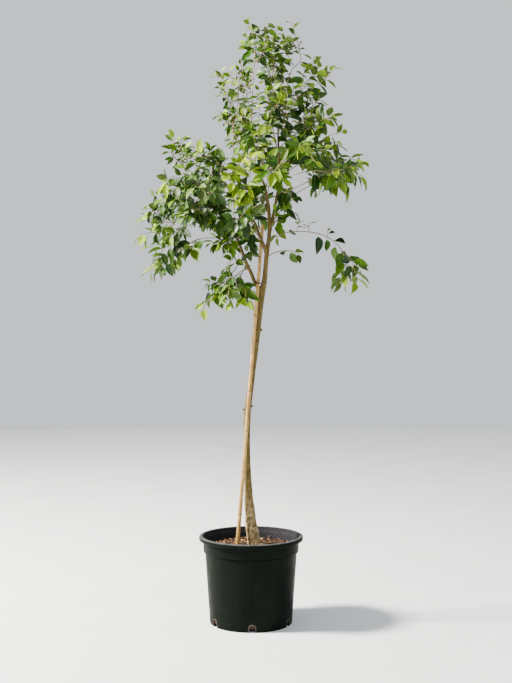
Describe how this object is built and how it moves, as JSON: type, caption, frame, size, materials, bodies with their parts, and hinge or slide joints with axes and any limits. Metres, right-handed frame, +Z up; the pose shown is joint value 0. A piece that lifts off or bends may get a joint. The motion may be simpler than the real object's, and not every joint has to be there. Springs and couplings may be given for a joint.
{
  "type": "potted banyan tree",
  "caption": "Young small-leaved tree with one slender leaning trunk and an open leafy crown, tied to a cane and rooted in a tapering nursery pot full of soil",
  "frame": {"origin": "Middle of the round underside of the pot, on the plane that its foot ring stands on.", "axes": "+Z runs up from the ground through the pot, +X to the right and +Y away from a viewer who stands in front, where the cane crosses before the trunk."},
  "size_m": [0.8963, 0.6374, 2.3159],
  "materials": {
    "pot": "satin black, worn and dusty",
    "soil": "brown potting mix with chips of bark",
    "bark": "thin grey-tan bark with raised pores",
    "cane": "smooth dry bamboo",
    "tie": "dark soft band",
    "leaf": "glossy leathery leaves on thin brown twigs"
  },
  "bodies": {
    "root": {"pot": "pot", "soil": "soil", "trunk": "bark", "bamboo_cane": "cane", "tie": "tie", "leafy_stem_top_left_spray": "leaf", "leafy_stem_top_centre_spray": "leaf", "leafy_stem_budded_wand": "leaf", "leafy_stem_wand_top_left": "leaf", "leafy_stem_wand_top_right": "leaf", "leafy_stem_top_back_spray": "leaf", "leafy_stem_right_top_upper": "leaf", "leafy_stem_right_top_middle": "leaf", "leafy_stem_right_top_lower": "leaf", "leafy_stem_right_far": "leaf", "leafy_stem_right_far_low": "leaf", "leafy_stem_right_upper": "leaf", "leafy_stem_right_inner_upper": "leaf", "leafy_stem_right_front": "leaf", "leafy_stem_right_front_high": "leaf", "leafy_stem_right_back": "leaf", "leafy_stem_right_back_low": "leaf", "leafy_stem_centre_front": "leaf", "leafy_stem_centre_front_high": "leaf", "leafy_stem_centre_front_low": "leaf", "leafy_stem_centre_back": "leaf", "leafy_stem_centre_back_low": "leaf", "leafy_stem_centre_upper": "leaf", "leafy_stem_centre_upper_back": "leaf", "leafy_stem_centre_hanging": "leaf", "leafy_stem_centre_low_right": "leaf", "leafy_stem_centre_left_twig": "leaf", "leafy_stem_left_bright": "leaf", "leafy_stem_left_top": "leaf", "leafy_stem_left_top_back": "leaf", "leafy_stem_wand_left": "leaf", "leafy_stem_left_upright": "leaf", "leafy_stem_left_outer": "leaf", "leafy_stem_left_outer_low": "leaf", "leafy_stem_left_front": "leaf", "leafy_stem_left_front_low": "leaf", "leafy_stem_left_under": "leaf", "leafy_stem_left_back": "leaf", "leafy_stem_left_back_low": "leaf", "leafy_stem_left_inner": "leaf", "leafy_stem_left_arch": "leaf", "leafy_stem_left_far": "leaf", "leafy_stem_left_low_leaves": "leaf", "leafy_stem_lower_left": "leaf", "leafy_stem_lower_left_back": "leaf", "leafy_stem_lower_left_hanging": "leaf", "leafy_stem_trunk_twig": "leaf", "leafy_stem_right_arch": "leaf", "leafy_stem_right_low_twig": "leaf"}
  },
  "joints": []
}
